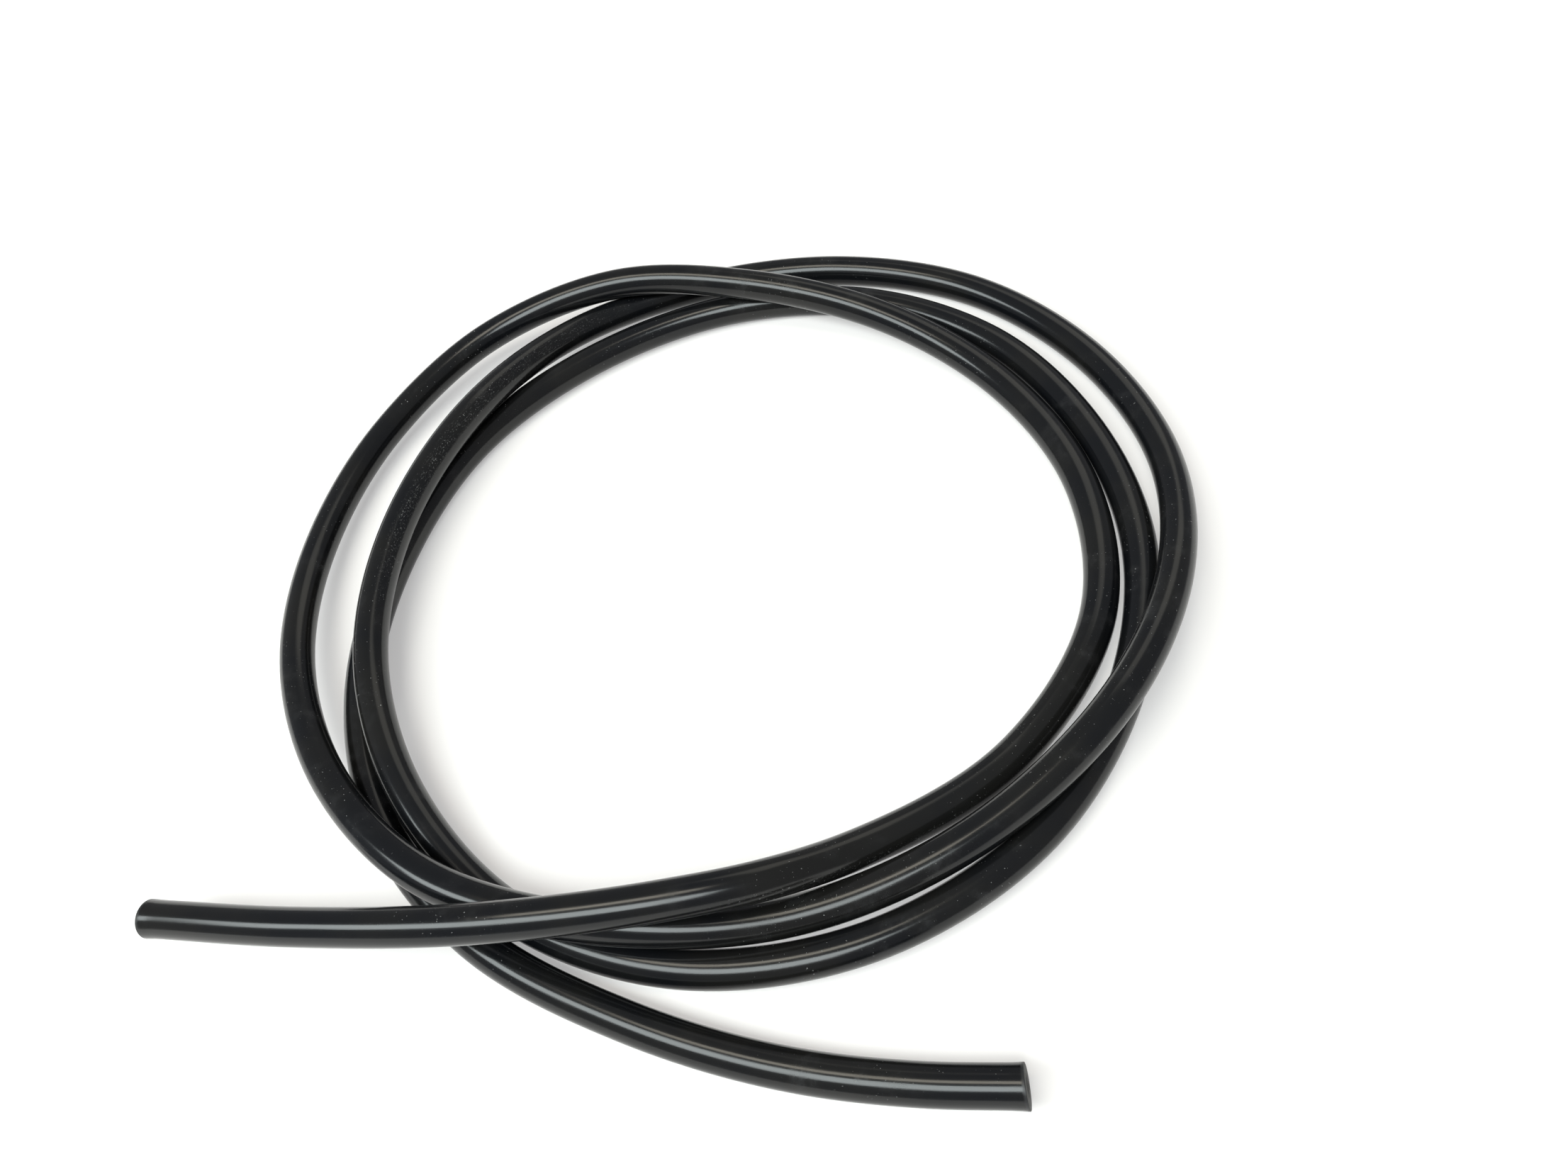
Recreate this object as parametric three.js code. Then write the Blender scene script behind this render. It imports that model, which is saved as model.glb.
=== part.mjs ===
import * as THREE from 'three';

// A length of silicone vacuum hose, dropped on a table in three loose turns with both cut ends free.
// Millimetres, +Z up, the table at z = 0. The two driving dimensions are those of the hose itself.
const hoseOuter = 8;
const hoseBore = 4;

// The route was measured on a hose 8 mm wide. Another hose lies in turns that grow with its width.
const routeHose = 8;
const grow = hoseOuter / routeHose;

// One step along the hose for less than two widths, and the sides of its wall and of its bore.
const stepLength = 1.75 * hoseOuter;
const wallSides = 16;
const boreSides = 10;

// Places that the middle of the hose passes through, in millimetres: x, y and how high its underside
// is above the table. The upper turn starts at the left cut end and lies over the two others.
const upperTurn = [
  [-121.7, -35.6, 6.5],
  [-87.5, -50.5, 11.5],
  [-51.5, -63.5, 16.5],
  [-13.5, -70.3, 15.5],
  [4, -71, 13],
  [24, -67, 5.5],
  [60.5, -55, 1],
  [88.5, -29, 1],
  [99, 8, 0.5],
  [92.5, 46, 0.5],
  [71.5, 78, 4],
  [40.5, 100.5, 8.5],
  [5, 116, 9.5],
  [-33, 115, 5.5],
  [-64.5, 93.5, 2.5],
  [-83.5, 60, 3],
  [-89.5, 22, 5.5],
  [-81.5, -15.5, 7.5],
  [-60.5, -47.5, 9],
];
const middleTurn = [
  [-28, -67.5, 8],
  [9.5, -75.5, 3.5],
  [48, -71.3, 5.6],
  [82.5, -54.5, 9.2],
  [107.5, -25.5, 6],
  [119.5, 10.5, 1],
  [115, 49, 0],
  [96.5, 82.5, 0],
  [65.5, 105.5, 0],
  [28, 115, 0.5],
  [-9.5, 109, 3],
  [-38.5, 84.5, 9],
  [-61, 53, 8.5],
  [-71, 16, 7],
  [-66, -22, 4],
  [-47, -55.5, 0.5],
];
const lowerTurn = [
  [-15.5, -77.5, 0],
  [22.5, -83.5, 0],
  [59, -73, 0],
  [87.5, -47.5, 0],
  [104.5, -13, 0],
  [106.5, 25.5, 0],
  [95, 62, 0],
  [68.5, 90, 0],
  [32.5, 103, 0],
  [-6, 99.5, 0],
  [-40.5, 82, 0],
  [-64, 51, 0],
  [-76, 14.5, 0],
  [-73.5, -23.5, 0],
  [-56, -58, 0],
  [-27.5, -84.5, 0],
  [5, -104.5, 0.5],
  [23, -112, 1],
  [41, -118, 2],
];

function routePlace([x, y, underside]) {
  return new THREE.Vector3(x * grow, y * grow, underside * grow + hoseOuter / 2);
}

function hoseRoute() {
  const places = [...upperTurn, ...middleTurn, ...lowerTurn].map(routePlace);
  const route = new THREE.CatmullRomCurve3(places, false, 'chordal');
  route.arcLengthDivisions = 2000;
  return route;
}

// The section through the wall: an outer ring with the bore as a hole in it.
function ring(radius, sides) {
  const corners = [];
  for (let side = 0; side < sides; side += 1) {
    const turn = (2 * Math.PI * side) / sides;
    corners.push(new THREE.Vector2(radius * Math.cos(turn), radius * Math.sin(turn)));
  }
  return corners;
}

function hoseSection() {
  const section = new THREE.Shape(ring(hoseOuter / 2, wallSides));
  section.holes.push(new THREE.Path(ring(hoseBore / 2, boreSides)));
  return section;
}

function makeHose() {
  const route = hoseRoute();
  const geometry = new THREE.ExtrudeGeometry(hoseSection(), {
    steps: Math.round(route.getLength() / stepLength),
    extrudePath: route,
    bevelEnabled: false,
  });
  const silicone = new THREE.MeshStandardMaterial({ color: 0x101114, roughness: 0.25, metalness: 0 });
  const hose = new THREE.Mesh(geometry, silicone);
  hose.name = 'hose';
  return hose;
}

const part = new THREE.Group();
part.add(makeHose());

export default part;
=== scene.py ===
import math

import bmesh
import bpy
from mathutils import Matrix, Vector


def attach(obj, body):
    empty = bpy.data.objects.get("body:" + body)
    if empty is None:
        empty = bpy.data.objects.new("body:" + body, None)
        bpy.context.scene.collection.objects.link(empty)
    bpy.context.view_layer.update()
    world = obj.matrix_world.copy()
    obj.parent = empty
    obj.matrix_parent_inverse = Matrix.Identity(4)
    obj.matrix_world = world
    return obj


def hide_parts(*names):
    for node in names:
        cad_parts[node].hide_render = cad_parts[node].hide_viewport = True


# Metres, +Z up, the table at z = 0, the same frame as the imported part.
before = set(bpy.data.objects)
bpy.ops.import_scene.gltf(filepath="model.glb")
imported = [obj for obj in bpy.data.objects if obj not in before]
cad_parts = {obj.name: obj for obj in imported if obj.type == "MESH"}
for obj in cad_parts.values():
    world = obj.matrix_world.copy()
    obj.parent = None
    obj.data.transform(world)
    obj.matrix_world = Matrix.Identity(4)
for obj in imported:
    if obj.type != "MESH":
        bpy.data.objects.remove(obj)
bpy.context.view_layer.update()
print("frame loaded")

# Camera
cameraSettings = {
    "place": (0.0256, -0.1843, 0.2487),
    "pitch": 52.37,  # degrees below level, looking along +Y
    "roll": -16.92,  # the picture leans to the left by this
    "focalPixels": 1880,  # focal length, on a picture 2212 pixels wide
    "pictureWidth": 2212,
    "sensor": 36.0,  # mm
}


def makeCamera(settings):
    data = bpy.data.cameras.new("photoCamera")
    data.sensor_width = settings["sensor"]
    data.lens = settings["sensor"] * settings["focalPixels"] / settings["pictureWidth"]
    data.clip_start = 0.01
    data.clip_end = 50
    camera = bpy.data.objects.new("photoCamera", data)
    bpy.context.scene.collection.objects.link(camera)
    tilt = Matrix.Rotation(math.radians(90 - settings["pitch"]), 4, "X")
    lean = Matrix.Rotation(math.radians(settings["roll"]), 4, "Z")
    camera.matrix_world = Matrix.Translation(settings["place"]) @ tilt @ lean
    bpy.context.scene.camera = camera


makeCamera(cameraSettings)
print("camera in place")

# The hose's route: x, y and how high its underside is above the table, in metres.
upperTurn = [
    (-0.1217, -0.0356, 0.0065),
    (-0.0875, -0.0505, 0.0115),
    (-0.0515, -0.0635, 0.0165),
    (-0.0135, -0.0703, 0.0155),
    (0.004, -0.071, 0.013),
    (0.024, -0.067, 0.0055),
    (0.0605, -0.055, 0.001),
    (0.0885, -0.029, 0.001),
    (0.099, 0.008, 0.0005),
    (0.0925, 0.046, 0.0005),
    (0.0715, 0.078, 0.004),
    (0.0405, 0.1005, 0.0085),
    (0.005, 0.116, 0.0095),
    (-0.033, 0.115, 0.0055),
    (-0.0645, 0.0935, 0.0025),
    (-0.0835, 0.06, 0.003),
    (-0.0895, 0.022, 0.0055),
    (-0.0815, -0.0155, 0.0075),
    (-0.0605, -0.0475, 0.009),
]
middleTurn = [
    (-0.028, -0.0675, 0.008),
    (0.0095, -0.0755, 0.0035),
    (0.048, -0.0713, 0.0056),
    (0.0825, -0.0545, 0.0092),
    (0.1075, -0.0255, 0.006),
    (0.1195, 0.0105, 0.001),
    (0.115, 0.049, 0),
    (0.0965, 0.0825, 0),
    (0.0655, 0.1055, 0),
    (0.028, 0.115, 0.0005),
    (-0.0095, 0.109, 0.003),
    (-0.0385, 0.0845, 0.009),
    (-0.061, 0.053, 0.0085),
    (-0.071, 0.016, 0.007),
    (-0.066, -0.022, 0.004),
    (-0.047, -0.0555, 0.0005),
]
lowerTurn = [
    (-0.0155, -0.0775, 0),
    (0.0225, -0.0835, 0),
    (0.059, -0.073, 0),
    (0.0875, -0.0475, 0),
    (0.1045, -0.013, 0),
    (0.1065, 0.0255, 0),
    (0.095, 0.062, 0),
    (0.0685, 0.09, 0),
    (0.0325, 0.103, 0),
    (-0.006, 0.0995, 0),
    (-0.0405, 0.082, 0),
    (-0.064, 0.051, 0),
    (-0.076, 0.0145, 0),
    (-0.0735, -0.0235, 0),
    (-0.056, -0.058, 0),
    (-0.0275, -0.0845, 0),
    (0.005, -0.1045, 0.0005),
    (0.023, -0.112, 0.001),
    (0.041, -0.118, 0.002),
]

hoseSettings = {
    "outer": 0.008,  # across the outside
    "bore": 0.004,
    "samples": 64,  # fine points of the route between two places
    "ringSpacing": 0.0025,
    "endRings": (0.0003, 0.0007, 0.0012, 0.0018, 0.0033),  # extra rings close to each cut
    "outerSides": 40,
    "boreSides": 24,
    "rimRounding": 0.00008,  # the knife leaves the cut edges barely broken
    "flare": 0.026,  # how much wider the hose stands at the cut, as a share
    "flareReach": 0.0022,
    "slope": (0, 0.1, 0.045),  # the second cut isn't square: its far side and top are cut back
    "slopeReach": 0.0015,
}


# One stretch of the smooth line between two places, timed by the distances between the places.
def smoothStretch(before, start, end, after, steps):
    first, middle, last = (start - before).length, (end - start).length, (after - end).length
    leaving = (start - before) / first - (end - before) / (first + middle) + (end - start) / middle
    arriving = (end - start) / middle - (after - start) / (middle + last) + (after - end) / last
    leaving, arriving = leaving * middle, arriving * middle
    square = (end - start) * 3 - leaving * 2 - arriving
    cube = (start - end) * 2 + leaving + arriving
    times = [step / steps for step in range(steps)]
    return [start + leaving * t + square * t**2 + cube * t**3 for t in times]


# The line through all the places, sampled finely, with how far along it each sample is.
def fineRoute(places, samples):
    ends = [places[0] * 2 - places[1]] + places + [places[-1] * 2 - places[-2]]
    fine = []
    for before, start, end, after in zip(ends, ends[1:], ends[2:], ends[3:]):
        fine += smoothStretch(before, start, end, after, samples)
    fine.append(places[-1].copy())
    walked = [0.0]
    for a, b in zip(fine, fine[1:]):
        walked.append(walked[-1] + (b - a).length)
    return fine, walked


# The points of the route at the given distances along it.
def pointsAt(fine, walked, stations):
    points, index = [], 0
    for station in stations:
        while walked[index + 1] < station and index + 2 < len(walked):
            index += 1
        share = (station - walked[index]) / (walked[index + 1] - walked[index])
        points.append(fine[index].lerp(fine[index + 1], share))
    return points


# Ring frames that turn with the line and never twist: X and Y across the hose, Z along it.
def ringFrames(line):
    frames, across = [], Vector((0, 0, 1))
    for index, point in enumerate(line):
        ahead = line[min(index + 1, len(line) - 1)]
        behind = line[max(index - 1, 0)]
        along = (ahead - behind).normalized()
        across = (across - along * across.dot(along)).normalized()
        side = along.cross(across)
        turned = Matrix((across, side, along)).transposed().to_4x4()
        frames.append(Matrix.Translation(point) @ turned)
    return frames


# One wall of the hose: a long sheet of squares rolled up round the route and welded along its seam.
def rollWall(mesh, frames, stations, radii, sides, leans):
    unrolled = mesh.verts.layers.float_vector["unrolled"]
    last = len(frames) - 1
    sheet = bmesh.ops.create_grid(mesh, x_segments=last, y_segments=sides, size=0.5)["verts"]
    for corner in sheet:
        number = round((corner.co.x + 0.5) * last)
        turn = 2 * math.pi * (corner.co.y + 0.5)
        across = Vector((math.cos(turn), math.sin(turn), 0)) * radii[number]
        corner.co = frames[number] @ across
        outwards = corner.co - frames[number].translation
        corner.co -= frames[number].col[2].xyz * outwards.dot(leans[number])
        corner[unrolled] = (across.x, across.y, stations[number])
    seam = [corner for corner in sheet if corner.is_boundary]
    bmesh.ops.remove_doubles(mesh, verts=seam, dist=1e-6)


def makeHose(settings):
    lift = settings["outer"] / 2
    places = [Vector((x, y, z + lift)) for x, y, z in upperTurn + middleTurn + lowerTurn]
    fine, walked = fineRoute(places, settings["samples"])
    length = walked[-1]
    count = round(length / settings["ringSpacing"])
    evenly = [length * step / count for step in range(count + 1)]
    line = pointsAt(fine, walked, evenly)
    nearCuts = list(settings["endRings"]) + [length - near for near in settings["endRings"]]
    stations = sorted(evenly + nearCuts)
    frames = ringFrames(pointsAt(fine, walked, stations))
    outer, bore, leans = [], [], []
    for station in stations:
        toCut = min(station, length - station)
        flare = settings["flare"] * math.exp(-((toCut / settings["flareReach"]) ** 2))
        outer.append(settings["outer"] / 2 * (1 + flare))
        bore.append(settings["bore"] / 2)
        sloped = math.exp(-(((length - station) / settings["slopeReach"]) ** 2))
        leans.append(Vector(settings["slope"]) * sloped)
    mesh = bmesh.new()
    mesh.verts.layers.float_vector.new("unrolled")
    rollWall(mesh, frames, stations, outer, settings["outerSides"], leans)
    rollWall(mesh, frames, stations, bore, settings["boreSides"], leans)
    openEdges = [edge for edge in mesh.edges if edge.is_boundary]
    for end in (line[0], line[-1]):
        rims = [edge for edge in openEdges if (edge.verts[0].co - end).length < settings["outer"]]
        wallEnd = bmesh.ops.bridge_loops(mesh, edges=rims)
        for face in wallEnd["faces"]:
            face.material_index = 1
    bmesh.ops.recalc_face_normals(mesh, faces=mesh.faces)
    bmesh.ops.bevel(
        mesh,
        geom=openEdges,
        offset=settings["rimRounding"],
        segments=2,
        affect="EDGES",
        profile=0.5,
        material=-1,
    )
    data = bpy.data.meshes.new("hoseLength")
    mesh.to_mesh(data)
    mesh.free()
    data.polygons.foreach_set("use_smooth", [True] * len(data.polygons))
    hose = bpy.data.objects.new("hoseLength", data)
    bpy.context.scene.collection.objects.link(hose)
    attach(hose, "root")
    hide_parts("hose")
    print("hose made,", round(length, 3), "m long,", len(data.polygons), "faces")
    return hose, length


hose, hoseLength = makeHose(hoseSettings)


# Materials
def makeNode(tree, kind, settings=None, sockets=None, out=0):
    node = tree.nodes.new(kind)
    for name, value in (settings or {}).items():
        setattr(node, name, value)
    for name, value in (sockets or {}).items():
        if isinstance(value, Wire):
            tree.links.new(value.socket, node.inputs[name])
        else:
            node.inputs[name].default_value = value
    return Wire(node.outputs[out])


class Wire:
    def __init__(self, socket):
        self.socket = socket
        self.tree = socket.id_data

    def maths(self, operation, first, second=0.0):
        return makeNode(self.tree, "ShaderNodeMath", {"operation": operation}, {0: first, 1: second})

    def __add__(self, other):
        return self.maths("ADD", self, other)

    def __radd__(self, other):
        return self.maths("ADD", other, self)

    def __sub__(self, other):
        return self.maths("SUBTRACT", self, other)

    def __rsub__(self, other):
        return self.maths("SUBTRACT", other, self)

    def __mul__(self, other):
        return self.maths("MULTIPLY", self, other)

    def __rmul__(self, other):
        return self.maths("MULTIPLY", other, self)

    def __gt__(self, other):
        return self.maths("GREATER_THAN", self, other)

    def __lt__(self, other):
        return self.maths("LESS_THAN", self, other)

    def size(self):
        return self.maths("ABSOLUTE", self)

    def smaller(self, other):
        return self.maths("MINIMUM", self, other)

    def atMost(self, limit):
        return self.maths("MINIMUM", self, limit)

    # From nought to one, with soft ends, as the value goes from low to high.
    def rising(self, low, high):
        sockets = {"Value": self, "From Min": low, "From Max": high}
        return makeNode(self.tree, "ShaderNodeMapRange", {"interpolation_type": "SMOOTHSTEP"}, sockets)

    def noise(self, scale, detail, roughness):
        sockets = {"Vector": self, "Scale": scale, "Detail": detail, "Roughness": roughness}
        return makeNode(self.tree, "ShaderNodeTexNoise", {}, sockets)

    def scaled(self, factors):
        return makeNode(self.tree, "ShaderNodeVectorMath", {"operation": "MULTIPLY"}, {0: self, 1: factors})

    def parts(self):
        split = makeNode(self.tree, "ShaderNodeSeparateXYZ", {}, {0: self})
        return [Wire(socket) for socket in split.socket.node.outputs]

    # The first colour where this factor is nought, the second where it is one.
    def mixed(self, first, second):
        return makeNode(self.tree, "ShaderNodeMix", {"data_type": "RGBA"}, {0: self, 6: first, 7: second}, 2)


skinSettings = {
    "coolBlack": (0.0042, 0.0047, 0.0058, 1),
    "warmBlack": (0.0085, 0.0082, 0.0076, 1),
    "bloomGrey": (0.03, 0.03, 0.031, 1),  # the dull film that comes out of old silicone
    "dustGrey": (0.36, 0.36, 0.35, 1),
    "gloss": 0.15,
    "bloomDulling": 0.12,
    "dustDulling": 0.5,
    "dragDulling": 0.25,
    "dragReach": (0.0002, 0.0009),  # from the cut, all dull up to the first and glossy past the second
    "lineScale": 2600,
    "lineStretch": 0.015,  # a line is as good as endless along the hose
    "lineDepth": 0.000012,
    "dustDepth": 0.00004,
    "cloudScale": 38,
    "bloomScale": 150,
    "patchScale": 26,
    "grainScale": 2300,
    "fleckSpread": {"Scale": 105, "Randomness": 1},
    "fleckRadius": 0.026,  # in cells of the fleck pattern
    "fleckShare": 0.7,  # this share of the cells has no fleck
    "fibreScale": 3300,
    "fibreStretch": 0.3,
    "refraction": 1.43,
}

# Dusty stretches: how far along they begin and end, and which way round the hose they face,
# in degrees from its top towards its right.
dustSettings = {
    "leftTurn": {"start": 1.06, "end": 1.2, "facing": -47, "spread": 38, "amount": 1.0},
    "leftTurnRidge": {"start": 1.12, "end": 1.18, "facing": -44, "spread": 14, "amount": 1.0},
    "underFirstTurn": {"start": 0.115, "end": 0.19, "facing": 72, "spread": 20, "amount": 0.9},
}


def makeSkin(settings):
    material = bpy.data.materials.new("siliconeSkin")
    material.use_nodes = True
    tree = material.node_tree
    place = makeNode(tree, "ShaderNodeTexCoord", out="Object")
    unrolled = makeNode(tree, "ShaderNodeAttribute", {"attribute_name": "unrolled"}, out="Vector")
    outward, sideways, along = unrolled.parts()

    # The die leaves fine lines along the hose, and the black is cloudy between cool and warm.
    lines = unrolled.scaled((1, 1, settings["lineStretch"])).noise(settings["lineScale"], 3, 0.6)
    clouds = place.noise(settings["cloudScale"], 3, 0.55).rising(0.36, 0.64)
    bloom = place.noise(settings["bloomScale"], 5, 0.62).rising(0.5, 0.78)
    bloom = bloom * place.noise(settings["bloomScale"] / 5, 2, 0.5).rising(0.42, 0.62)

    # Loose dust: pinpoint specks everywhere, fewer and larger flecks, and crowded dusty stretches.
    patches = place.noise(settings["patchScale"], 2, 0.5).rising(0.44, 0.66)
    grains = place.noise(settings["grainScale"], 1, 0.4)
    specks = grains.rising(0.74, 0.79) * patches
    spread = {"Vector": place, **settings["fleckSpread"]}
    cells = makeNode(tree, "ShaderNodeTexVoronoi", {}, spread)
    chance = makeNode(tree, "ShaderNodeTexVoronoi", {}, spread, out="Color").parts()[0]
    flecks = (settings["fleckRadius"] - cells).rising(0, 0.012) * (chance > settings["fleckShare"])
    fibres = unrolled.scaled((1, 1, settings["fibreStretch"])).noise(settings["fibreScale"], 3, 0.7)
    crowded = 0.0
    half = hoseSettings["outer"] / 2
    for stretch in dustSettings.values():
        facing = math.radians(stretch["facing"])
        middle = (stretch["start"] + stretch["end"]) / 2
        reach = (stretch["end"] - stretch["start"]) / 2
        edge = math.cos(math.radians(stretch["spread"]))
        towards = outward * (math.cos(facing) / half) + sideways * (math.sin(facing) / half)
        inside = (reach - (along - middle).size()).rising(0, reach * 0.5) * towards.rising(edge, 1)
        crowded = crowded + inside * stretch["amount"]
    crowdedGrains = fibres.rising(0.54, 0.78) * crowded + grains.rising(0.62, 0.74) * crowded
    dust = (specks * 0.5 + flecks * 0.8 + crowdedGrains * 0.13).atMost(1)

    # The last millimetre before each cut is dull where the knife dragged on it.
    toCut = along.smaller(hoseLength - along)
    dragged = 1 - toCut.rising(*settings["dragReach"])

    black = clouds.mixed(settings["coolBlack"], settings["warmBlack"])
    dulled = (bloom * 0.5 + dragged * 0.5).atMost(1).mixed(black, settings["bloomGrey"])
    colour = dust.mixed(dulled, settings["dustGrey"])
    roughness = settings["gloss"] + bloom * settings["bloomDulling"]
    roughness = roughness + dragged * settings["dragDulling"]
    roughness = (roughness + dust * settings["dustDulling"] + lines * 0.04).atMost(1)
    height = lines * settings["lineDepth"] + dust * settings["dustDepth"]
    normal = makeNode(tree, "ShaderNodeBump", {}, {"Height": height, "Distance": 1.0, "Strength": 0.6})

    surface = tree.nodes["Principled BSDF"]
    surface.inputs["IOR"].default_value = settings["refraction"]
    tree.links.new(colour.socket, surface.inputs["Base Color"])
    tree.links.new(roughness.socket, surface.inputs["Roughness"])
    tree.links.new(normal.socket, surface.inputs["Normal"])
    return material


cutSettings = {
    "pale": (0.06, 0.06, 0.057, 1),
    "dark": (0.022, 0.022, 0.021, 1),
    "shine": 0.25,  # a fresh cut mirrors less than the skin
    "markScale": 2400,
    "markDepth": 0.00004,
    "crumbScale": 3500,
    "crumbDepth": 0.00001,
}


def makeCutFace(settings):
    material = bpy.data.materials.new("cutFace")
    material.use_nodes = True
    tree = material.node_tree
    place = makeNode(tree, "ShaderNodeTexCoord", out="Object")
    strokes = place.scaled((0.25, 0.25, 2.2)).noise(settings["markScale"], 4, 0.6)
    crumbs = place.noise(settings["crumbScale"], 3, 0.6)
    tone = (strokes * 0.7 + crumbs * 0.3).rising(0.38, 0.6)
    colour = tone.mixed(settings["dark"], settings["pale"])
    roughness = 0.45 + tone * 0.25
    height = strokes * settings["markDepth"] + crumbs * settings["crumbDepth"]
    normal = makeNode(tree, "ShaderNodeBump", {}, {"Height": height, "Distance": 1.0, "Strength": 0.7})
    surface = tree.nodes["Principled BSDF"]
    tree.links.new(colour.socket, surface.inputs["Base Color"])
    tree.links.new(roughness.socket, surface.inputs["Roughness"])
    tree.links.new(normal.socket, surface.inputs["Normal"])
    surface.inputs["Specular IOR Level"].default_value = settings["shine"]
    return material


hose.data.materials.append(makeSkin(skinSettings))
hose.data.materials.append(makeCutFace(cutSettings))
print("materials made")

# Floor and light
floorSettings = {
    "size": 8.0,
    "colour": (0.615, 0.59, 0.57, 1),
    "roughness": 0.9,
    "glow": 0.38,  # the table's own faint light, so that it turns out white
}


def makeFloor(settings):
    mesh = bmesh.new()
    bmesh.ops.create_grid(mesh, x_segments=1, y_segments=1, size=settings["size"] / 2)
    data = bpy.data.meshes.new("floor")
    mesh.to_mesh(data)
    mesh.free()
    floor = bpy.data.objects.new("floor", data)
    bpy.context.scene.collection.objects.link(floor)
    material = bpy.data.materials.new("paleFloor")
    material.use_nodes = True
    surface = material.node_tree.nodes["Principled BSDF"]
    surface.inputs["Base Color"].default_value = settings["colour"]
    surface.inputs["Roughness"].default_value = settings["roughness"]
    surface.inputs["Specular IOR Level"].default_value = 0.0
    surface.inputs["Emission Color"].default_value = (1, 1, 1, 1)
    surface.inputs["Emission Strength"].default_value = settings["glow"]
    data.materials.append(material)


makeFloor(floorSettings)

# Two long soft lamps overhead, a narrow warm one and a broad cool one, slant across the table. A third
# one beyond the table is only a dim glow.
lampHeight = 1.5
lampSettings = {
    "warmLamp": {
        "start": (0.1, -0.12),
        "end": (-0.63, 0.18),
        "width": 0.3,
        "colour": (1.0, 0.94, 0.8),
        "glow": 5.0,
    },
    "coolLamp": {
        "start": (0.02, -1.22),
        "end": (-2.2, 0.16),
        "width": 0.84,
        "colour": (0.92, 1.0, 1.0),
        "glow": 7.5,
    },
    "farLamp": {
        "start": (0.4, 1.0),
        "end": (1.7, 2.1),
        "width": 0.9,
        "colour": (1.0, 0.97, 0.86),
        "glow": 0.75,
    },
}


def makeLamp(name, settings):
    start = Vector((*settings["start"], lampHeight))
    end = Vector((*settings["end"], lampHeight))
    data = bpy.data.lights.new(name, "AREA")
    data.shape = "RECTANGLE"
    data.size = (end - start).length
    data.size_y = settings["width"]
    data.color = settings["colour"]
    data.energy = 4 * data.size * data.size_y * settings["glow"]
    lamp = bpy.data.objects.new(name, data)
    bpy.context.scene.collection.objects.link(lamp)
    slant = math.atan2(end.y - start.y, end.x - start.x)
    lamp.matrix_world = Matrix.Translation((start + end) / 2) @ Matrix.Rotation(slant, 4, "Z")


for name, settings in lampSettings.items():
    makeLamp(name, settings)

# The room is dim and slightly cool.
roomColour = (0.26, 0.265, 0.28, 1)
world = bpy.data.worlds.new("studio")
bpy.context.scene.world = world
world.use_nodes = True
world.node_tree.nodes["Background"].inputs["Color"].default_value = roomColour
bpy.context.scene.view_settings.view_transform = "Standard"
print("stage set")
